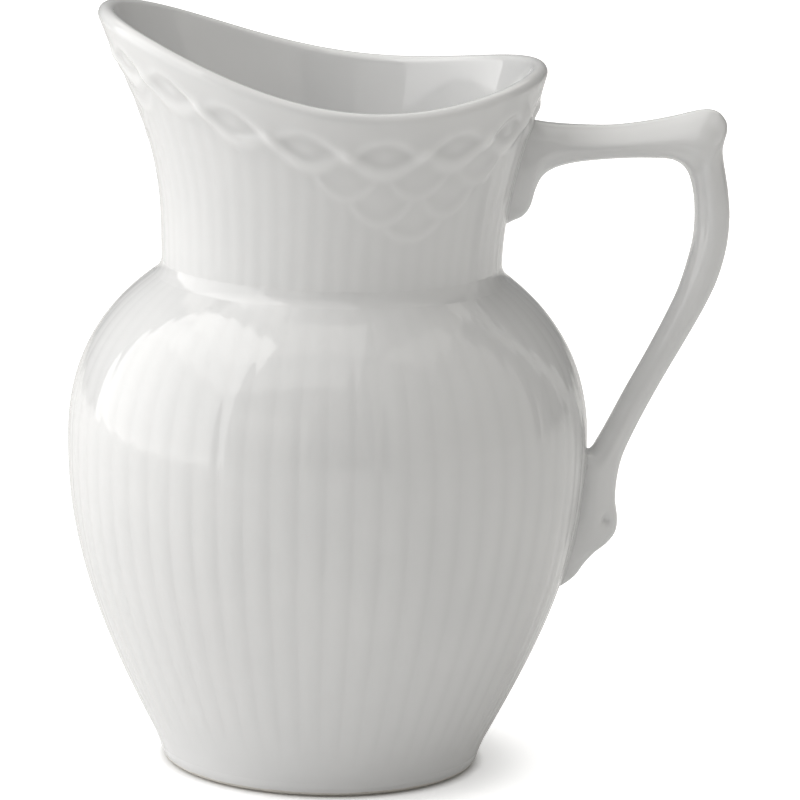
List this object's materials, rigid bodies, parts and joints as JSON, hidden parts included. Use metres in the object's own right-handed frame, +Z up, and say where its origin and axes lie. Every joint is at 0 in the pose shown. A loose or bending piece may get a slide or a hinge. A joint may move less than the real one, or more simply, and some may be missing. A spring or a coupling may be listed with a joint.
{
  "type": "ceramic pitcher",
  "caption": "Fluted white porcelain pitcher with a round belly, flared neck, drawn-out spout, saddle rim, relief band and angular luted handle.",
  "frame": {"origin": "centre of the foot ring's bearing face, on the surface the pitcher stands on", "axes": "+Z up along the neck, +X from the axis towards the handle (the spout is at -X), +Y across"},
  "size_m": [0.1135, 0.09, 0.1319],
  "materials": {
    "white_glaze": "gloss",
    "biscuit": "matte"
  },
  "bodies": {
    "root": {"belly": "white_glaze", "neck_and_spout": "white_glaze", "foot_ring": "biscuit", "handle": "white_glaze", "neck_slip_joint": "white_glaze", "upper_handle_slip_joint": "white_glaze", "lower_handle_slip_joint": "white_glaze"}
  },
  "joints": []
}
